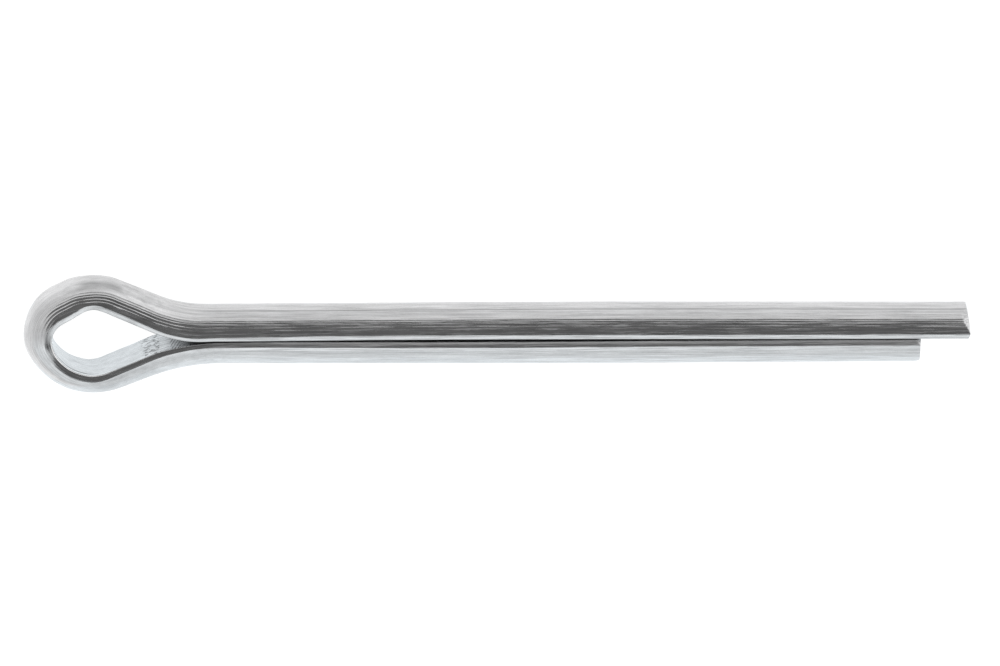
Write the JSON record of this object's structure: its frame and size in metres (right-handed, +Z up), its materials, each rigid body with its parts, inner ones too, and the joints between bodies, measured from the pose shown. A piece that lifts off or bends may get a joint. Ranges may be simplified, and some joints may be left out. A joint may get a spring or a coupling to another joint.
{
  "type": "cotter pin",
  "caption": "Split cotter pin: half-round steel wire bent back on itself round an eye, its flats face to face along a straight shank, one leg longer.",
  "frame": {"origin": "on the shank's axis, where the long leg leaves the eye", "axes": "+X along the shank from the eye to the tips, +Y towards the long leg, +Z up with the pin lying on its side"},
  "size_m": [0.0711, 0.0092, 0.0046],
  "materials": {
    "zinc_steel": "bright zinc plating over drawn steel wire, satin, with fine lengthwise drawing lines and a faint pale blue tint"
  },
  "bodies": {
    "root": {"cotter_pin": "zinc_steel"}
  },
  "joints": []
}
